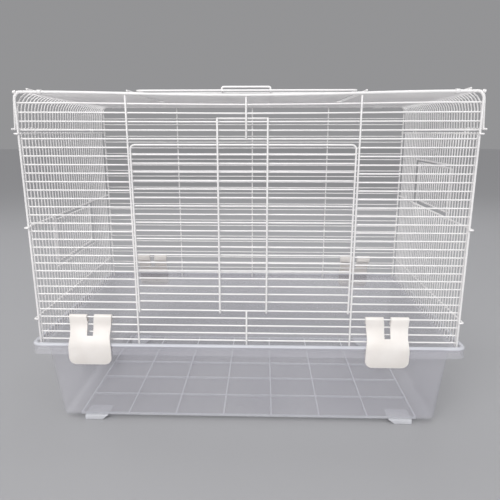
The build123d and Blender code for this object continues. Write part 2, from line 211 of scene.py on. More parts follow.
def mottleGroup():  # cloudy colour shift with a fine skin over it
    group, given, result = newGroup(
        "coatMottle",
        [("Light", "NodeSocketColor", (1, 1, 1, 1)), ("Dark", "NodeSocketColor", (0.5, 0.5, 0.5, 1)),
         ("Scale", "NodeSocketFloat", 20.0), ("Fine", "NodeSocketFloat", 400.0),
         ("Rough Low", "NodeSocketFloat", 0.3), ("Rough High", "NodeSocketFloat", 0.5)],
        [("Color", "NodeSocketColor"), ("Roughness", "NodeSocketFloat"), ("Height", "NodeSocketFloat")])
    nodes, links = group.nodes, group.links
    place = nodes.new("ShaderNodeTexCoord")
    cloud = nodes.new("ShaderNodeTexNoise")
    cloud.inputs["Detail"].default_value = 3.0
    grit = nodes.new("ShaderNodeTexNoise")
    grit.inputs["Detail"].default_value = 2.0
    ramp = nodes.new("ShaderNodeMapRange")
    ramp.inputs["From Min"].default_value = 0.35
    ramp.inputs["From Max"].default_value = 0.65
    blend = nodes.new("ShaderNodeMix")
    blend.data_type = "RGBA"
    rough = nodes.new("ShaderNodeMapRange")
    links.new(place.outputs["Object"], cloud.inputs["Vector"])
    links.new(place.outputs["Object"], grit.inputs["Vector"])
    links.new(given.outputs["Scale"], cloud.inputs["Scale"])
    links.new(given.outputs["Fine"], grit.inputs["Scale"])
    links.new(cloud.outputs["Fac"], ramp.inputs["Value"])
    links.new(ramp.outputs["Result"], blend.inputs["Factor"])
    links.new(given.outputs["Light"], blend.inputs[6])
    links.new(given.outputs["Dark"], blend.inputs[7])
    links.new(grit.outputs["Fac"], rough.inputs["Value"])
    links.new(given.outputs["Rough Low"], rough.inputs["To Min"])
    links.new(given.outputs["Rough High"], rough.inputs["To Max"])
    links.new(blend.outputs[2], result.inputs["Color"])
    links.new(rough.outputs["Result"], result.inputs["Roughness"])
    links.new(grit.outputs["Fac"], result.inputs["Height"])
    return group


mottle = mottleGroup()


def newMaterial(name, settings):
    material = bpy.data.materials.new(name)
    material.use_nodes = True
    nodes, links = material.node_tree.nodes, material.node_tree.links
    shader = nodes["Principled BSDF"]
    effect = nodes.new("ShaderNodeGroup")
    effect.node_tree = mottle
    for label in ("Light", "Dark", "Scale", "Fine", "Rough Low", "Rough High"):
        effect.inputs[label].default_value = settings[label]
    bump = nodes.new("ShaderNodeBump")
    bump.inputs["Strength"].default_value = settings["bump"]
    bump.inputs["Distance"].default_value = settings["bumpDepth"]
    links.new(effect.outputs["Color"], shader.inputs["Base Color"])
    links.new(effect.outputs["Roughness"], shader.inputs["Roughness"])
    links.new(effect.outputs["Height"], bump.inputs["Height"])
    links.new(bump.outputs["Normal"], shader.inputs["Normal"])
    for label, value in settings["shader"].items():
        shader.inputs[label].default_value = value
    return material


wireCoatLook = {
    "Light": (0.86, 0.845, 0.84, 1), "Dark": (0.80, 0.785, 0.785, 1), "Scale": 14.0, "Fine": 900.0,
    "Rough Low": 0.26, "Rough High": 0.42, "bump": 0.25, "bumpDepth": 0.0002,
    "shader": {"Coat Weight": 0.25, "Coat Roughness": 0.2, "IOR": 1.5},
}
stripLook = {
    "Light": (0.85, 0.84, 0.83, 1), "Dark": (0.76, 0.75, 0.75, 1), "Scale": 60.0, "Fine": 700.0,
    "Rough Low": 0.3, "Rough High": 0.45, "bump": 0.3, "bumpDepth": 0.0002,
    "shader": {"Coat Weight": 0.15, "Coat Roughness": 0.25, "IOR": 1.5},
}
trayLook = {
    "Light": (0.66, 0.655, 0.70, 1), "Dark": (0.60, 0.595, 0.65, 1), "Scale": 9.0, "Fine": 260.0,
    "Rough Low": 0.22, "Rough High": 0.32, "bump": 0.04, "bumpDepth": 0.0002,
    "shader": {"Alpha": 0.19, "IOR": 1.49},
}
ribLook = {
    "Light": (0.88, 0.89, 0.93, 1), "Dark": (0.82, 0.83, 0.88, 1), "Scale": 20.0, "Fine": 300.0,
    "Rough Low": 0.25, "Rough High": 0.40, "bump": 0.12, "bumpDepth": 0.0003,
    "shader": {"Alpha": 0.62, "IOR": 1.49},
}
# the tray plastic made lighter and more opaque for the rim's top faces: a painted highlight along the
# rounded top, where light falls
rimHighlightLook = {
    "Light": (0.80, 0.81, 0.86, 1), "Dark": (0.74, 0.75, 0.81, 1), "Scale": 20.0, "Fine": 300.0,
    "Rough Low": 0.18, "Rough High": 0.30, "bump": 0.12, "bumpDepth": 0.0003,
    "shader": {"Alpha": 0.48, "IOR": 1.49},
}
clipLook = {
    "Light": (0.80, 0.765, 0.735, 1), "Dark": (0.75, 0.71, 0.675, 1), "Scale": 25.0, "Fine": 500.0,
    "Rough Low": 0.3, "Rough High": 0.45, "bump": 0.15, "bumpDepth": 0.0002,
    "shader": {"IOR": 1.49},
}
wireCoat = newMaterial("whiteWireCoat", wireCoatLook)
stripCoat = newMaterial("coatedStrip", stripLook)
trayPlastic = newMaterial("frostedTrayPlastic", trayLook)
ribPlastic = newMaterial("thickTrayPlastic", ribLook)
rimHighlightPlastic = newMaterial("trayRimPaintedHighlight", rimHighlightLook)
clipPlastic = newMaterial("milkyClipPlastic", clipLook)
print("materials made")


# wires

wireShape = {
    "sides": 8,
    "frameSides": 12,
    "bendSteps": 4,
    "span": 0.05,         # longest straight piece between two rings
    "stub": 0.05,         # a wire shorter than this is one piece
    "swayFrom": 0.06,     # a wire shorter than this stays straight
    "waver": 0.00022,     # how far a run strays sideways between its welds
    "endRound": 0.45,     # of the radius, at a sawn and dipped end
    "flangeLean": 0.075,  # sideways per unit of height, of the roof's outer legs
    "hookTip": 0.0005,    # of a hook's tip past the middle of its pivot wire
    "bendRelief": 0.00005,  # keeps two bends of one hook from meeting end to end
    "flat": 0.004,        # a solid thicker than this is bent, not straight
}
stayRadius, frameRadius = 0.00125, 0.0015
roundings = {
    "outline": 0.008, "hoop": 0.020, "railHook": 0.0026, "doorCorner": 0.006,
    "flapCorner": 0.008, "latch": 0.0024, "lidLatch": 0.0022,
}
runs = {body: [] for body in frame["bodies"]}  # every straight run, for the beads at the crossings
random.seed(11)


def noteRun(body, start, end, radius):
    runs[body].append((Vector(start), Vector(end), radius))


def closeEnds(item, radius):
    bpy.ops.mesh.select_all(action="SELECT")
    bpy.ops.mesh.fill_holes(sides=0)
    pickFaces(item, lambda face: len(face.vertices) > 4)
    bpy.ops.mesh.select_mode(type="EDGE")
    bpy.ops.mesh.bevel(offset=radius * wireShape["endRound"], segments=2, affect="EDGES")
    bpy.ops.mesh.select_all(action="SELECT")
    bpy.ops.mesh.normals_make_consistent(inside=False)
    bpy.ops.object.mode_set(mode="OBJECT")


def bentWire(name, points, bends, radius, sides):  # a ring carried along straight runs and round bends
    points = [Vector(p) for p in points]
    first = (points[1] - points[0]).normalized()
    facing = first.to_track_quat("Z", "Y").to_euler()
    clearSelection()
    bpy.ops.mesh.primitive_circle_add(
        vertices=sides, radius=radius, location=points[0], rotation=facing, enter_editmode=True)
    item = bpy.context.object
    item.name = name
    here = points[0].copy()
    for k in range(1, len(points)):
        along = (points[k] - points[k - 1]).normalized()
        stop = points[k].copy()
        turn = k < len(points) - 1
        if turn:
            after = (points[k + 1] - points[k]).normalized()
            angle = along.angle(after)
            stop -= along * bends[k - 1] * math.tan(angle / 2)
        steps = max(1, round((stop - here).length / wireShape["span"]))
        for _ in range(steps):
            bpy.ops.mesh.extrude_region_move(TRANSFORM_OT_translate={"value": (stop - here) / steps})
        here = stop
        if turn:
            inward = (after - along * along.dot(after)).normalized()
            centre = here + inward * bends[k - 1]
            axle = along.cross(after).normalized()
            bpy.ops.mesh.spin(
                steps=wireShape["bendSteps"], angle=angle, center=centre, axis=-axle)
            here = points[k] + after * bends[k - 1] * math.tan(angle / 2)
    closeEnds(item, radius)
    settle(item)
    smooth(item, 60)
    return item


def straightWire(name, length, radius, sides):  # lies along X with its middle at the origin
    clearSelection()
    bpy.ops.mesh.primitive_circle_add(
        vertices=sides, radius=radius, location=(-length / 2, 0, 0), rotation=(0, math.pi / 2, 0),
        enter_editmode=True)
    item = bpy.context.object
    item.name = name
    steps = max(1, math.ceil(length / (2 * wireShape["span"]))) * 2
    if length < wireShape["stub"]:
        steps = 1
    for _ in range(steps):
        bpy.ops.mesh.extrude_region_move(TRANSFORM_OT_translate={"value": (length / steps, 0, 0)})
    closeEnds(item, radius)
    settle(item)
    smooth(item, 60)
    return item


def waver(item, axis, sway, amount):  # a slight bow along the wire, none at its ends
    mesh = item.data
    low = min(v.co[axis] for v in mesh.vertices)
    high = max(v.co[axis] for v in mesh.vertices)
    phase = random.uniform(0.8, 1.2) * math.pi
    size = random.uniform(-amount, amount)
    for v in mesh.vertices:
        share = (v.co[axis] - low) / (high - low)
        v.co[sway] += size * math.sin(share * phase * 2) * math.sin(share * math.pi)


def straightWires(name, node, sides=wireShape["sides"], sway=None):  # sway is the axis a wire strays along
    masters, made = {}, []
    for low, high in solidBoxes(node):
        size = high - low
        axis = max(range(3), key=lambda i: size[i])
        across = [size[i] for i in range(3) if i != axis]
        if max(across) > 2 * min(across):
            continue
        radius = sum(across) / 4
        key = (axis, round(size[axis], 4), round(radius, 5))
        if key not in masters:
            masters[key] = straightWire(name, size[axis], radius, sides)
        middle = (low + high) / 2
        wire = copyOf(masters[key], middle, (alongX, xToY, xToZ)[axis])
        if sway is not None and size[axis] > wireShape["swayFrom"]:
            waver(wire, axis, sway, wireShape["waver"])
        made.append(wire)
        half = Vector([size[i] / 2 if i == axis else 0 for i in range(3)])
        noteRun(bodyOf[node], middle - half, middle + half, radius)
    discard(*masters.values())
    return made


def noteRoute(body, points, radius):
    for a, b in zip(points, points[1:]):
        noteRun(body, a, b, radius)


def wirePiece(name, node, items):
    return finishPiece(joined(name, items), [node], wireCoat)


axisX, axisY, axisZ = 0, 1, 2
wirePiece("frontBars", "front_bars", straightWires("frontBar", "front_bars", sway=axisZ))
wirePiece("frontShortBars", "front_short_bars", straightWires("frontShortBar", "front_short_bars"))
wirePiece("rearBars", "rear_bars", straightWires("rearBar", "rear_bars", sway=axisZ))
wirePiece("frontUprights", "front_uprights", straightWires("frontUpright", "front_uprights"))
wirePiece("frontStruts", "front_struts", straightWires("frontStrut", "front_struts"))
wirePiece("rearUprights", "rear_uprights", straightWires("rearUpright", "rear_uprights"))
wirePiece("leftUprights", "left_uprights", straightWires("leftUpright", "left_uprights", sway=axisY))
wirePiece("rightUprights", "right_uprights", straightWires("rightUpright", "right_uprights", sway=axisY))
wirePiece("roofLongWires", "roof_long_wires", straightWires("roofLongWire", "roof_long_wires"))
wirePiece("roofSideRails", "roof_side_rails", straightWires("roofSideRail", "roof_side_rails"))
wirePiece("frontDoorBars", "front_door_bars", straightWires("frontDoorBar", "front_door_bars", sway=axisZ))
wirePiece("roofDoorBars", "roof_door_bars", straightWires("roofDoorBar", "roof_door_bars", sway=axisY))
wirePiece("leftDoorBars", "left_door_bars", straightWires("leftDoorBar", "left_door_bars"))
wirePiece("rightDoorBars", "right_door_bars", straightWires("rightDoorBar", "right_door_bars"))
print("straight wires made")


def archPoints(low, high, radius, lean=0):  # up one leg, across and down the other
    middle = (low.y + high.y) / 2
    left, right, top = low.x + radius, high.x - radius, high.z - radius
    foot = low.z + radius * lean
    shift = (top - foot) * lean
    return [Vector((left, middle, foot)), Vector((left + shift, middle, top)),
            Vector((right - shift, middle, top)), Vector((right, middle, foot))]


def outlinePiece(name, node, lean=0):
    low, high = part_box(node)
    radius = (high.y - low.y) / 2
    points = archPoints(low, high, radius, lean)
    noteRoute(bodyOf[node], points, radius)
    wire = bentWire(name, points, [roundings["outline"]] * 2, radius, wireShape["frameSides"])
    return wirePiece(name, node, [wire])


outlinePiece("roofFrontWire", "roof_front_wire", wireShape["flangeLean"])
outlinePiece("roofRearWire", "roof_rear_wire", wireShape["flangeLean"])
outlinePiece("frontFrameWire", "front_frame_wire")
outlinePiece("rearFrameWire", "rear_frame_wire")


def hoopPieces():
    node = "roof_cross_wires"
    boxes = solidBoxes(node)
    radius = (boxes[0][1].y - boxes[0][0].y) / 2
    lean = wireShape["flangeLean"]
    points = archPoints(*boxes[0], radius, lean)
    master = bentWire("crossHoop", points, [roundings["hoop"]] * 2, radius, wireShape["sides"])
    made = []
    for low, high in boxes:
        made.append(copyOf(master, (0, (low.y + high.y) / 2 - points[0].y, 0)))
        waver(made[-1], axisX, axisY, wireShape["waver"])
        noteRoute(bodyOf[node], archPoints(low, high, radius, lean), radius)
    discard(master)
    wirePiece("roofCrossWires", node, made)
    node = "roof_cut_wires"
    boxes = solidBoxes(node)
    masters, made = {}, []
    for low, high in boxes:
        left = low.x < 0
        middle = (low.y + high.y) / 2
        outer, inner = (low.x + radius, high.x) if left else (high.x - radius, low.x)
        foot, top = low.z + radius * lean, high.z - radius
        shift = (top - foot) * lean * (1 if left else -1)
        points = [Vector((outer, middle, foot)), Vector((outer + shift, middle, top)),
                  Vector((inner, middle, top))]
        if left not in masters:
            wire = bentWire("cutHoop", points, [roundings["hoop"]], radius, wireShape["sides"])
            masters[left] = (wire, middle)
        wire, start = masters[left]
        made.append(copyOf(wire, (0, middle - start, 0)))
        noteRoute(bodyOf[node], points, radius)
    discard(*[wire for wire, _ in masters.values()])
    wirePiece("roofCutWires", node, made)


hoopPieces()
print("roof wires made")


def bentBoxes(node):  # those of a node's solids that are not straight
    return [(low, high) for low, high in solidBoxes(node) if high.x - low.x > wireShape["flat"]]


def railPieces(name, node):
    made = straightWires(name + "Short", node, wireShape["frameSides"])
    radius = stayRadius
    for low, high in bentBoxes(node):
        outer, tip = (low.x + radius, high.x) if low.x < 0 else (high.x - radius, low.x)
        level = (low.z + high.z) / 2
        front, rear = low.y + radius, high.y - radius
        points = [Vector((tip, front, level)), Vector((outer, front, level)),
                  Vector((outer, rear, level)), Vector((tip, rear, level))]
        made.append(bentWire(name, points, [roundings["railHook"]] * 2, radius, wireShape["frameSides"]))
        noteRun(bodyOf[node], points[1], points[2], radius)
    wirePiece(name, node, made)


railPieces("leftRails", "left_rails")
railPieces("rightRails", "right_rails")


def hookedLoop(name, node, centre, hook, head, corner, radius):  # hook runs from its tip to the loop
    points = hook + head + [(-px, py, pz) for px, py, pz in reversed(hook)]
    points = [(centre + px, py, pz) for px, py, pz in points]
    bendCount = len(hook) - 1
    size = (Vector(hook[1]) - Vector(hook[2])).length / 2 - wireShape["bendRelief"]
    bends = [size] * bendCount + [corner] * len(head) + [size] * bendCount
    wire = bentWire(name, points, bends, radius, wireShape["frameSides"])
    for a in range(bendCount, len(points) - bendCount - 1):
        noteRun(bodyOf[node], points[a], points[a + 1], radius)
    return wire


def frontLoop(name, node, depth, heads, corner):  # heads: the loop's top, as (side, (depth, level))
    low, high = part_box(node)
    frameLow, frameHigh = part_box("front_door_frame")
    centre, half = (low.x + high.x) / 2, (high.x - low.x) / 2 - stayRadius
    hookDepth = frameLow.y + stayRadius
    back = frameHigh.y - stayRadius
    hookLow = frameLow.z + stayRadius
    tip = hookLow + (back - hookDepth) / 2 + wireShape["hookTip"]
    hook = [(-half, back, tip), (-half, back, hookLow), (-half, depth, hookLow)]
    head = [(side * half, level[0], level[1]) for side, level in heads]
    wire = hookedLoop(name, node, centre, hook, head, corner, stayRadius)
    return wirePiece(name, node, [wire])


low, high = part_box("front_door_frame")
doorDepth, doorTop = low.y + stayRadius, high.z - stayRadius
frontLoop("frontDoorFrame", "front_door_frame", doorDepth,
          [(-1, (doorDepth, doorTop)), (1, (doorDepth, doorTop))], roundings["doorCorner"])
low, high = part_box("front_door_latch")
latchDepth, latchBack, latchTop = low.y + stayRadius, high.y - stayRadius, high.z - stayRadius
frontLoop("frontDoorLatch", "front_door_latch", latchDepth,
          [(-1, (latchDepth, latchTop)), (-1, (latchBack, latchTop)),
           (1, (latchBack, latchTop)), (1, (latchDepth, latchTop))], roundings["latch"])
print("front door wires made")


def lidLoop(name, node, heads, corner):
    low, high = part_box(node)
    frameLow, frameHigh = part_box("roof_door_frame")
    half = high.x - stayRadius
    back = frameHigh.y - stayRadius
    hookLow = frameLow.z + stayRadius
    level = frameHigh.z - stayRadius
    tip = back - (level - hookLow) / 2 - wireShape["hookTip"]
    hook = [(-half, tip, hookLow), (-half, back, hookLow), (-half, back, level)]
    head = [(side * half, depth, height) for side, depth, height in heads]
    return wirePiece(name, node, [hookedLoop(name, node, 0, hook, head, corner, stayRadius)])


low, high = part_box("roof_door_frame")
lidFront, lidLevel = low.y + stayRadius, high.z - stayRadius
lidLoop("roofDoorFrame", "roof_door_frame", [(-1, lidFront, lidLevel), (1, lidFront, lidLevel)],
        roundings["doorCorner"])
low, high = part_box("roof_door_latch")
loopFront, loopTop = low.y + stayRadius, high.z - stayRadius
lidLoop("roofDoorLatch", "roof_door_latch",
        [(-1, loopFront, lidLevel), (-1, loopFront, loopTop),
         (1, loopFront, loopTop), (1, loopFront, lidLevel)],
        roundings["lidLatch"])
print("roof door wires made")


def flapFrame(name, node, up):
    made = straightWires(name + "Tie", node, wireShape["frameSides"])
    low, high = bentBoxes(node)[0]
    side = 1 if low.x > 0 else -1
    inner, outer = (low.x + stayRadius, high.x - stayRadius)[::side]
    half = high.y - stayRadius
    turn, far = (low.z + stayRadius, high.z - stayRadius)[::up]
    size = abs(outer - inner) / 2
    tip = turn + up * (size + wireShape["hookTip"])
    tight = size - wireShape["bendRelief"]
    near = [(inner, -half, tip), (inner, -half, turn), (outer, -half, turn), (outer, -half, far)]
    points = near + [(px, -py, pz) for px, py, pz in reversed(near)]
    bends = [tight] * 2 + [roundings["flapCorner"]] * 2 + [tight] * 2
    made.append(bentWire(name, points, bends, stayRadius, wireShape["frameSides"]))
    for a, b in ((2, 3), (3, 4), (4, 5)):
        noteRun(bodyOf[node], points[a], points[b], stayRadius)
    return wirePiece(name, node, made)


flapFrame("leftDoorFrame", "left_door_frame", -1)
flapFrame("rightDoorFrame", "right_door_frame", 1)
print("side flaps made")


# tray: one moulded skin, carried from the floor up the wall, out over the ledge and round the rim

trayShape = {
    "floor": 0.0102, "fillet": 0.0068, "wallFoot": (0.2836, 0.1546), "corner": 0.0078, "topCorner": 0.0098,
    "taper": 0.0805,
    "ledge": 0.1347, "ledgeRound": 0.0026, "lip": (0.3035, 0.179), "lipCorner": 0.008, "lipRound": 0.0008,
    "rimRound": 0.003, "rimInner": 0.0024, "skirt": 0.126, "wall": 0.0021, "cornerSteps": 8,
    "rimStart": (0.3025, 0.178), "ridge": 0.1385,
}


def arcSteps(centre, radius, start, stop, count):  # (sideways, up) points along an arc, angles in degrees
    angles = [math.radians(start + (stop - start) * k / count) for k in range(count + 1)]
    return [(centre[0] + radius * math.cos(a), centre[1] + radius * math.sin(a)) for a in angles]


def traySection(low, high):  # (sideways, up) from the wall's foot line outwards
    given = trayShape
    lean = math.degrees(math.atan(given["taper"]))
    fillet, floor, ledge = given["fillet"], given["floor"], given["ledge"]
    centre = (given["taper"] * fillet - fillet / math.cos(math.radians(lean)), floor + fillet)
    path = arcSteps(centre, fillet, -90, -lean, 5)
    top = (ledge - floor) * given["taper"]
    bend = given["ledgeRound"]
    path += arcSteps((top + bend, ledge - bend), bend, 180 - lean, 90, 3)
    lip = given["lip"][0] - given["wallFoot"][0]
    tight = given["lipRound"]
    path += arcSteps((lip - tight, ledge + tight), tight, -90, 0, 2)
    bend = given["rimInner"]
    path += arcSteps((lip + bend, high.z - bend), bend, 180, 90, 4)
    edge = high.x - given["wallFoot"][0]
    bend = given["rimRound"]
    path += arcSteps((edge - bend, high.z - bend), bend, 90, 0, 4)
    path.append((edge, given["skirt"]))
    return path


def trayLoop(points, sideways, height):  # sets one loop of the skin to its rounded rectangle
    given = trayShape
    foot, lip = given["wallFoot"], given["lip"]
    wallTop = (given["ledge"] - given["floor"]) * given["taper"] + given["ledgeRound"]
    lipTop = lip[0] - foot[0]
    climb = min(1, max(0, sideways / wallTop))
    ledge = min(1, max(0, (sideways - wallTop) / (lipTop - wallTop)))
    corner = given["corner"] + climb * (given["topCorner"] - given["corner"])
    corner += ledge * (given["lipCorner"] - given["topCorner"])
    if sideways < 0:
        corner += sideways
    if sideways > lipTop:
        corner += sideways - lipTop
    half = (foot[0] + sideways, foot[1] + sideways + ledge * (lip[1] - foot[1] - lipTop))
    for point, unit, quarter in points:
        point.co = (quarter[0] * (half[0] - corner) + unit[0] * corner,
                    quarter[1] * (half[1] - corner) + unit[1] * corner, height)


def trayPiece():
    low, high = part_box("tray")
    path = traySection(low, high)
    clearSelection()
    bpy.ops.mesh.primitive_plane_add(size=2.0)
    item = bpy.context.object
    editMesh(item)
    bpy.ops.mesh.select_all(action="SELECT")
    bpy.ops.mesh.bevel(offset=0.5, segments=trayShape["cornerSteps"], affect="VERTICES")
    bpy.ops.object.mode_set(mode="OBJECT")
    spots = []  # for every point, its place on a corner of radius 1 and the quarter it is in
    for point in item.data.vertices:
        quarter = (math.copysign(1, point.co.x), math.copysign(1, point.co.y))
        spots.append((Vector((point.co.x * 2 - quarter[0], point.co.y * 2 - quarter[1])), quarter))
    trayLoop([(point, *spots[point.index]) for point in item.data.vertices], *path[0])
    loopSize = len(spots)
    for step in path[1:]:
        bpy.ops.object.mode_set(mode="EDIT")
        bpy.ops.mesh.extrude_edges_move()
        bpy.ops.object.mode_set(mode="OBJECT")
        points = item.data.vertices
        start = len(points) - loopSize
        last = range(start - loopSize, start)
        fresh = [point for point in points if point.select]
        twins = [min(last, key=lambda k: (points[k].co - point.co).length) for point in fresh]
        spots += [spots[twin] for twin in twins]
        trayLoop([(point, *spots[point.index]) for point in fresh], *step)
    editMesh(item)
    bpy.ops.mesh.select_all(action="SELECT")
    bpy.ops.mesh.normals_make_consistent(inside=False)
    bpy.ops.object.mode_set(mode="OBJECT")
    if item.data.polygons[0].normal.z < 0:
        item.data.flip_normals()
    applyModifier(item, "SOLIDIFY", thickness=trayShape["wall"], offset=-1, use_even_offset=True)
    smooth(item, 32)
    item.name = item.data.name = "trayShell"
    finishPiece(item, ["tray"], trayPlastic)
    # faces on the rim's top, outside the lip and above the ridge, take the lighter copy: painted highlight
    item.data.materials.append(rimHighlightPlastic)
    for face in item.data.polygons:
        x, y, z = face.center
        wide = abs(x) > trayShape["rimStart"][0] or abs(y) > trayShape["rimStart"][1]
        face.material_index = 1 if wide and z > trayShape["ridge"] else 0


ribShape = {
    "half": (0.260, 0.145), "columns": 8, "rows": 6, "width": 0.0024, "draft": 0.7,
    "top": 0.0084, "bottom": 0.005, "round": 0.0005,
}
footShape = {
    "inner": 0.216, "flat": 0.226, "outer": 0.2525, "depth": 0.138, "length": 0.030, "top": 0.0079,
    "round": 0.0012,
}


def ribBar(length, turn):
    clearSelection()
    tall = ribShape["top"] - ribShape["bottom"]
    bpy.ops.mesh.primitive_cube_add(size=1.0, location=(0, 0, (ribShape["top"] + ribShape["bottom"]) / 2))
    item = bpy.context.object
    item.scale = (length, ribShape["width"], tall)
    settle(item)
    pickPoints(item, lambda co: co.z < ribShape["bottom"] + tall / 2)
    bpy.ops.transform.resize(value=(1, ribShape["draft"], 1))
    bpy.ops.object.mode_set(mode="OBJECT")
    applyModifier(item, "BEVEL", width=ribShape["round"], segments=2)
    item.data.transform(Matrix.Rotation(turn, 4, "Z"))
    smooth(item, 40)
    return item


def evenly(count):  # from -1 to 1
    return [2 * k / (count - 1) - 1 for k in range(count)]


def undersidePiece():
    reachX, reachY = ribShape["half"]
    along = ribBar(2 * reachX, 0)
    crosswise = ribBar(2 * reachY, quarterTurn)
    made = [copyOf(along, (0, reachY * place, 0)) for place in evenly(ribShape["rows"])]
    made += [copyOf(crosswise, (reachX * place, 0, 0)) for place in evenly(ribShape["columns"])]
    discard(along, crosswise)
    clearSelection()
    middle = (footShape["inner"] + footShape["outer"]) / 2
    bpy.ops.mesh.primitive_cube_add(size=1.0, location=(middle, 0, footShape["top"] / 2))
    foot = bpy.context.object
    foot.scale = (footShape["outer"] - footShape["inner"], footShape["length"], footShape["top"])
    settle(foot)
    pickPoints(foot, lambda co: co.x < middle and co.z < footShape["top"] / 2)
    bpy.ops.transform.translate(value=(footShape["flat"] - footShape["inner"], 0, 0))
    bpy.ops.object.mode_set(mode="OBJECT")
    applyModifier(foot, "BEVEL", width=footShape["round"], segments=3)
    smooth(foot, 40)
    for turn in (None, halfTurn):
        for side in (-1, 1):
            made.append(copyOf(foot, (0, side * footShape["depth"], 0), turn))
    discard(foot)
    item = joined("trayUnderside", made)
    item.data.materials.clear()
    item.data.materials.append(ribPlastic)
    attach(item, "tray")


trayPiece()
undersidePiece()
print("tray made")


# clips: a bent sheet with a slot, hooked over a bar and round the tray's rim

clipShape = {
    "half": 0.0305, "slot": 0.00425, "wall": 0.0022, "grip": 0.0026, "tip": -0.0082, "slotFoot": -0.0254,
    "shoulder": -0.006, "belly": (0.0143, -0.0420), "foot": -0.0669,
    "waist": 0.002, "waistLevel": -0.0256, "hipLevel": -0.0416,
    "slotFlare": 1.22, "flareLevel": -0.0005, "footCorner": 0.010, "edge": 0.0006,
    "shelf": (0.0088, 0.0140), "shelfLevel": -0.0585, "shelfInset": 0.002,
    "slotSteps": 7, "bellySteps": 6,
}


def clipPath():  # (outwards, up) from the tip behind the bar to the foot
    given = clipShape
    grip = given["grip"]
    path = [(-grip, given["tip"])] + arcSteps((0, 0), grip, 180, 0, 8)
    out, low = given["belly"]
    start = given["shoulder"]
    slotShare = (given["slotFoot"] - start) / (low - start)
    above, below = given["slotSteps"], given["bellySteps"]
    shares = [slotShare * k / above for k in range(above + 1)]
    shares += [slotShare + (1 - slotShare) * k / below for k in range(1, below + 1)]
    for share in shares:
        reach = grip + (out - grip) * (1 - math.cos(math.pi * share)) / 2
        path.append((reach, start + (low - start) * share))
    path.append((out, given["foot"]))
    return path


def clipHalf(level):  # half the clip's width
    given = clipShape
    waist, hip = given["waistLevel"], given["hipLevel"]
    if level > 0:
        share = 0
    elif level > waist:
        share = level / waist
    else:
        share = 1 - min(1, (waist - level) / (waist - hip))
    return given["half"] - given["waist"] * share


def clipMaster():
    given = clipShape
    slot, half = given["slot"], given["half"]
    path = clipPath()
    clearSelection()
    bpy.ops.mesh.primitive_plane_add(size=2 * half)
    item = bpy.context.object
    editMesh(item)
    pickPoints(item, lambda co: co.y < 0)
    bpy.ops.mesh.delete(type="VERT")
    bpy.ops.mesh.select_all(action="SELECT")
    bpy.ops.mesh.subdivide(number_cuts=2)
    pickPoints(item, lambda co: abs(co.x) < half / 2)
    bpy.ops.transform.resize(value=(slot * 3 / half, 1, 1))
    bpy.ops.mesh.select_all(action="SELECT")
    bpy.ops.transform.translate(value=(0, -half - path[0][0], path[0][1]))
    bpy.ops.mesh.select_mode(type="EDGE")
    for a, b in zip(path, path[1:]):
        bpy.ops.mesh.extrude_edges_move(TRANSFORM_OT_translate={"value": (0, a[0] - b[0], b[1] - a[1])})
    bpy.ops.object.mode_set(mode="OBJECT")
    for point in item.data.vertices:  # the waist
        if abs(point.co.x) > half / 2:
            point.co.x = math.copysign(clipHalf(point.co.z), point.co.x)
    pickFaces(item, lambda face: abs(face.center.x) < slot / 2 and face.center.z > given["slotFoot"])
    bpy.ops.mesh.delete(type="FACE")
    pickPoints(item, lambda co: abs(co.x) < half / 2 and co.z > given["flareLevel"])
    bpy.ops.transform.resize(value=(given["slotFlare"], 1, 1), center_override=(0, 0, 0))
    pickPoints(item, lambda co: abs(co.x) > half / 2 and co.z < given["foot"] + pickReach)
    bpy.ops.mesh.bevel(offset=given["footCorner"], segments=6, affect="VERTICES")
    bpy.ops.mesh.select_all(action="SELECT")
    bpy.ops.mesh.normals_make_consistent(inside=False)
    bpy.ops.object.mode_set(mode="OBJECT")
    applyModifier(item, "SOLIDIFY", thickness=given["wall"], offset=0, use_even_offset=True)
    roundEdges(item, given["edge"])
    near, far = given["shelf"]
    clearSelection()
    bpy.ops.mesh.primitive_cube_add(size=1.0, location=(0, -(near + far) / 2, given["shelfLevel"]))
    shelf = bpy.context.object
    shelf.scale = (2 * (half - given["shelfInset"]), far - near, given["wall"])
    settle(shelf)
    applyModifier(shelf, "BEVEL", width=given["edge"], segments=2)
    whole = joined("clipMaster", [item, shelf])
    smooth(whole, 40)
    return whole


def clipPieces():
    master = clipMaster()
    for name, node, bars, turn in (
            ("frontLeftClip", "front_left_clip", "front_bars", None),
            ("frontRightClip", "front_right_clip", "front_bars", None),
            ("rearLeftClip", "rear_left_clip", "rear_bars", halfTurn),
            ("rearRightClip", "rear_right_clip", "rear_bars", halfTurn)):
        low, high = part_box(node)
        barLow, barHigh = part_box(bars)
        level = high.z - clipShape["grip"] - clipShape["wall"] / 2
        item = copyOf(master, ((low.x + high.x) / 2, (barLow.y + barHigh.y) / 2, level), turn)
        item.name = item.data.name = name
        finishPiece(item, [node], clipPlastic)
    discard(master)


clipPieces()
print("clips made")


# folded strips that tie the panels' edge wires together

stripShape = {"wall": 0.0008, "play": 0.00015, "sides": 16, "edge": 0.00018}


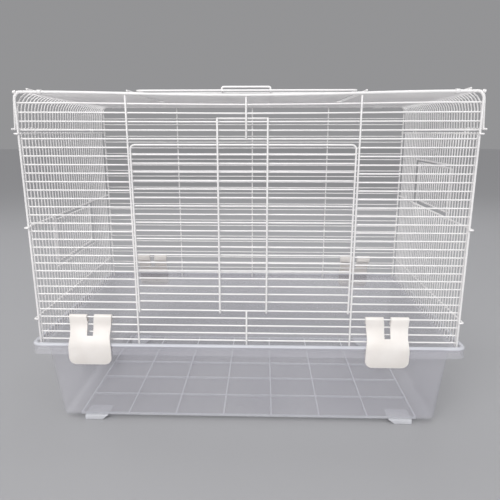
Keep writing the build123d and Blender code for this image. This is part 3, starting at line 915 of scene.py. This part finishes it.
def foldedStrip(first, second, wireRadius, width, axis):  # a loop round two wires
    wrap = wireRadius + stripShape["play"] + stripShape["wall"] / 2
    span = second - first
    facing = (0, quarterTurn, 0) if axis == axisX else (quarterTurn, 0, 0)
    clearSelection()
    bpy.ops.mesh.primitive_circle_add(
        vertices=stripShape["sides"], radius=wrap, location=first, rotation=facing)
    item = bpy.context.object
    settle(item)
    for point in item.data.vertices:
        if (point.co - first).dot(span) > 0:
            point.co += span
    push = Vector((width, 0, 0)) if axis == axisX else Vector((0, width, 0))
    editMesh(item, "EDGE")
    bpy.ops.mesh.select_all(action="SELECT")
    bpy.ops.transform.translate(value=-push / 2)
    bpy.ops.mesh.extrude_region_move(TRANSFORM_OT_translate={"value": push})
    bpy.ops.mesh.select_all(action="SELECT")
    bpy.ops.mesh.normals_make_consistent(inside=False)
    bpy.ops.object.mode_set(mode="OBJECT")
    applyModifier(item, "SOLIDIFY", thickness=stripShape["wall"], offset=0, use_even_offset=True)
    roundEdges(item, stripShape["edge"])
    smooth(item, 45)
    return item


def wireAt(node, radius):  # middle of an outline wire's top run, seen from the side
    low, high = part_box(node)
    return (low.y + high.y) / 2, high.z - radius


def hingeStrips(name, node, roofNode, panelNode):
    roofY, roofZ = wireAt(roofNode, frameRadius)
    panelY, panelZ = wireAt(panelNode, frameRadius)
    made = []
    for low, high in solidBoxes(node):
        middle = (low.x + high.x) / 2
        made.append(foldedStrip(Vector((middle, roofY, roofZ)), Vector((middle, panelY, panelZ)),
                                frameRadius, high.x - low.x, axisX))
    finishPiece(joined(name, made), [node], stripCoat)


def hangerStrips(name, node, railNode):
    railLow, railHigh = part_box(railNode)
    side = 1 if railLow.x > 0 else -1
    flangeLow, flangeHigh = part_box("roof_side_rails")
    flange = (side * (flangeHigh.x - stayRadius), (flangeLow.z + flangeHigh.z) / 2)
    rail = (side * (max(abs(railLow.x), abs(railHigh.x)) - stayRadius), railHigh.z - stayRadius)
    made = []
    for low, high in solidBoxes(node):
        middle = (low.y + high.y) / 2
        first, second = (Vector((x, middle, z)) for x, z in (flange, rail))
        made.append(foldedStrip(first, second, stayRadius, high.y - low.y, axisY))
    finishPiece(joined(name, made), [node], stripCoat)


hingeStrips("frontHingeStrips", "front_hinge_rings", "roof_front_wire", "front_frame_wire")
hingeStrips("rearHingeStrips", "rear_hinge_rings", "roof_rear_wire", "rear_frame_wire")
hangerStrips("leftHangerStrips", "left_hanger_rings", "left_rails")
hangerStrips("rightHangerStrips", "right_hanger_rings", "right_rails")
print("strips made")


# beads of coating where wires are welded across each other

beadShape = {"spread": 0.0017, "thick": 0.0008, "reach": 0.00045, "overrun": 0.002}


def beadMaster():
    clearSelection()
    bpy.ops.mesh.primitive_uv_sphere_add(segments=8, ring_count=5, radius=1.0)
    item = bpy.context.object
    editMesh(item)
    bpy.ops.mesh.select_all(action="SELECT")
    bpy.ops.transform.resize(value=(beadShape["spread"], beadShape["spread"], beadShape["thick"]))
    bpy.ops.object.mode_set(mode="OBJECT")
    settle(item)
    smooth(item, 60)
    return item


def spans(start, end, axis, level):  # does a run pass that level along an axis, or all but
    low, high = sorted((start[axis], end[axis]))
    return low - beadShape["overrun"] < level < high + beadShape["overrun"]


def crossings(body):
    found = []
    listed = runs[body]
    for k, (a0, a1, ra) in enumerate(listed):
        da = max(range(3), key=lambda i: abs(a1[i] - a0[i]))
        for b0, b1, rb in listed[k + 1:]:
            db = max(range(3), key=lambda i: abs(b1[i] - b0[i]))
            if da == db or not spans(a0, a1, da, b0[da]):
                continue
            here = a0.lerp(a1, (b0[da] - a0[da]) / (a1[da] - a0[da]))
            if not spans(b0, b1, db, here[db]):
                continue
            there = b0.lerp(b1, (here[db] - b0[db]) / (b1[db] - b0[db]))
            normal = 3 - da - db
            if abs(abs(here[normal] - there[normal]) - ra - rb) < beadShape["reach"]:
                found.append((here.lerp(there, ra / (ra + rb)), normal))
    return found


def beadPieces():
    master = beadMaster()
    turns = (Matrix.Rotation(quarterTurn, 4, "Y"), Matrix.Rotation(quarterTurn, 4, "X"), alongX)
    for body, listed in runs.items():
        spots = crossings(body)
        if not spots:
            continue
        made = [copyOf(master, point, turns[normal]) for point, normal in spots]
        item = joined(body + "Beads", made)
        item.data.materials.clear()
        item.data.materials.append(wireCoat)
        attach(item, body)
        print(body, len(spots), "welded crossings")
    discard(master)


beadPieces()


# the wire top is not quite straight at its front: its upper edge bows and the first bars hang with it

bow = {"edge": 0.0024, "drop": 0.0035, "edgeFade": 0.6, "dropFade": 0.7, "reach": 0.03, "pitch": 0.0113}


def settleFront():
    barLow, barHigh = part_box("front_bars")
    edgeLow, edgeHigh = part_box("roof_front_wire")
    front, top, half = barLow.y, edgeHigh.z - frameRadius, barHigh.x
    fromCad = set(frame["nodes"].values())
    made = [one for one in bpy.data.objects if one.get("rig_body") == "wire_top" and one not in fromCad]
    for item in made:
        for point in item.data.vertices:
            row = max(0, (top - point.co.z) / bow["pitch"])
            depth = math.exp(-max(0, point.co.y - front) / bow["reach"])
            wave = math.cos(math.pi * min(1, abs(point.co.x) / half))
            edge = bow["edge"] * math.exp(-bow["edgeFade"] * row) * wave
            drop = bow["drop"] * row * math.exp(-bow["dropFade"] * row)
            point.co.z -= depth * (edge + drop)


settleFront()
print("front edge settled")


# floor, light and camera

studio = {
    "floor": (0.34, 0.34, 0.35, 1), "floorRough": 0.7, "reach": 14.0,
    "worldColor": (0.82, 0.82, 0.84, 1), "worldStrength": 0.36,
}


def studioFloor():
    clearSelection()
    bpy.ops.mesh.primitive_circle_add(vertices=64, radius=studio["reach"], fill_type="NGON")
    ground = bpy.context.object
    ground.name = "studioFloor"
    material = bpy.data.materials.new("paleFloor")
    material.use_nodes = True
    shader = material.node_tree.nodes["Principled BSDF"]
    shader.inputs["Base Color"].default_value = studio["floor"]
    shader.inputs["Roughness"].default_value = studio["floorRough"]
    ground.data.materials.append(material)


def softLight(name, place, aim, size, power, color):
    lamp = bpy.data.lights.new(name, "AREA")
    lamp.shape = "RECTANGLE"
    lamp.size, lamp.size_y = size
    lamp.energy = power
    lamp.color = color
    item = bpy.data.objects.new(name, lamp)
    item.location = place
    item.rotation_mode = "QUATERNION"
    item.rotation_quaternion = (Vector(aim) - Vector(place)).to_track_quat("-Z", "Y")
    bpy.context.scene.collection.objects.link(item)


lights = {
    "keyLight": ((-0.55, -2.0, 1.15), (0, 0, 0.24), (1.6, 1.2), 22, (1.0, 0.99, 0.98)),
    "fillLight": ((1.7, -1.3, 0.9), (0, 0, 0.25), (1.2, 1.2), 9, (0.96, 0.98, 1.0)),
    "topLight": ((0.2, 0.3, 2.4), (0, 0, 0.2), (1.6, 1.2), 8, (1.0, 1.0, 1.0)),
    "leftLight": ((-1.9, 0.6, 1.3), (0, 0, 0.25), (1.2, 1.2), 8, (0.98, 0.98, 1.0)),
    "backLight": ((0.6, 2.0, 1.6), (0, 0, 0.3), (1.4, 1.0), 8, (0.97, 0.98, 1.0)),
}
sky = {"toward": (0.2, 0.6, -1.0), "power": 1.5, "spread": 35}


def skyLight():  # wide and soft, keeps the far floor as pale as the near one
    lamp = bpy.data.lights.new("skyLight", "SUN")
    lamp.energy = sky["power"]
    lamp.angle = math.radians(sky["spread"])
    item = bpy.data.objects.new("skyLight", lamp)
    item.location = (0, -2, 2)
    item.rotation_mode = "QUATERNION"
    item.rotation_quaternion = Vector(sky["toward"]).to_track_quat("-Z", "Y")
    bpy.context.scene.collection.objects.link(item)


def studioWorld():
    world = bpy.data.worlds.new("studio")
    bpy.context.scene.world = world
    world.use_nodes = True
    back = world.node_tree.nodes["Background"]
    back.inputs["Color"].default_value = studio["worldColor"]
    back.inputs["Strength"].default_value = studio["worldStrength"]


def studioCamera():
    lens = bpy.data.cameras.new("camera")
    lens.sensor_width = 36.0
    lens.lens = view["lens"]
    lens.clip_start, lens.clip_end = 0.02, 60
    item = bpy.data.objects.new("camera", lens)
    item.location = view["place"]
    item.rotation_mode = "QUATERNION"
    facing = Vector(view["forward"]).to_track_quat("-Z", "Y")
    item.rotation_quaternion = facing
    bpy.context.scene.collection.objects.link(item)
    bpy.context.scene.camera = item


view = {"place": (0.0228, -0.8146, 0.4351), "forward": (-0.0270, 0.9712, -0.2367), "lens": 34.72}
studioFloor()
for name, given in lights.items():
    softLight(name, *given)
skyLight()
studioWorld()
studioCamera()
bpy.context.scene.view_settings.view_transform = "Standard"
print("studio ready")
